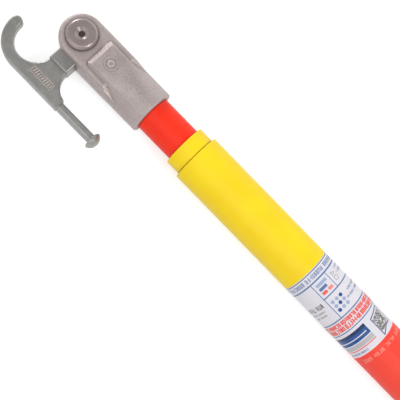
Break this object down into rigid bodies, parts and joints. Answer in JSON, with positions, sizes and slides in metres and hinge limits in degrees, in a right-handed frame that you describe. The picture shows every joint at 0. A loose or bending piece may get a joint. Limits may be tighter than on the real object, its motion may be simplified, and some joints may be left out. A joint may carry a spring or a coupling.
{
  "type": "lineman hot stick",
  "caption": "Telescoping insulated pole with a cast fork head, a swivelling pull hook with a knobbed prong, spring lock buttons and a yellow boot, stored closed.",
  "frame": {"origin": "centre of the butt's flat end face, on the stick's axis", "axes": "+X along the stick from the butt towards the head, +Y towards the side the hook is turned to when stored, +Z along the hook's pivot screw towards its head"},
  "size_m": [1.4926, 0.0807, 0.044],
  "materials": {
    "rubber": "matt black rubber",
    "moulded_black": "moulded nylon",
    "orange_tube": "glossy orange-red resin over glass fibre",
    "yellow_boot": "satin yellow vinyl",
    "label": "printed film under clear coat",
    "cast_aluminium": "sand-cast, bead-blasted",
    "screw_metal": "satin, as the casting",
    "plated_steel": "zinc plate on forged steel",
    "bright_steel": "plain steel",
    "bronze": "plain bearing bronze"
  },
  "bodies": {
    "base": {"butt_pad": "rubber", "butt_plug": "moulded_black", "base_bumper": "rubber", "base_tube": "orange_tube", "base_boot": "yellow_boot", "base_label": "label"},
    "mid": {"mid_guide_plug": "moulded_black", "mid_bumper": "rubber", "mid_tube": "orange_tube", "mid_collar": "yellow_boot", "mid_button_spring": "bright_steel"},
    "mid_button": {"mid_lock_button": "moulded_black"},
    "tip": {"tip_guide_plug": "moulded_black", "tip_tube": "orange_tube", "tip_button_spring": "bright_steel", "head_casting": "cast_aluminium", "socket_rivet": "bright_steel", "pivot_screw": "screw_metal", "friction_washers": "bronze", "pivot_spring_washer": "bright_steel", "pivot_nut": "bright_steel"},
    "tip_button": {"tip_lock_button": "moulded_black"},
    "hook": {"hook_plate": "plated_steel", "prong_pin": "plated_steel"}
  },
  "joints": [
    {"name": "mid_slide", "type": "slide", "parent": "base", "child": "mid", "axis": [1, 0, 0], "range_m": [0, 1.1249]},
    {"name": "tip_slide", "type": "slide", "parent": "mid", "child": "tip", "axis": [1, 0, 0], "range_m": [0, 1.0402]},
    {"name": "hook_swing", "type": "hinge", "parent": "tip", "child": "hook", "pos_m": [1.4404, 0, 0], "axis": [0, 0, 1], "range_deg": [-180, 0]},
    {"name": "mid_button_press", "type": "slide", "parent": "mid", "child": "mid_button", "axis": [0, 0, 1], "range_m": [0, 0.0015], "stiffness_N_per_m": 500, "springref_m": -0.0063, "deforming": ["mid_button_spring"]},
    {"name": "tip_button_press", "type": "slide", "parent": "tip", "child": "tip_button", "axis": [0, 0, 1], "range_m": [0, 0.0015], "stiffness_N_per_m": 500, "springref_m": -0.0053, "deforming": ["tip_button_spring"]}
  ]
}
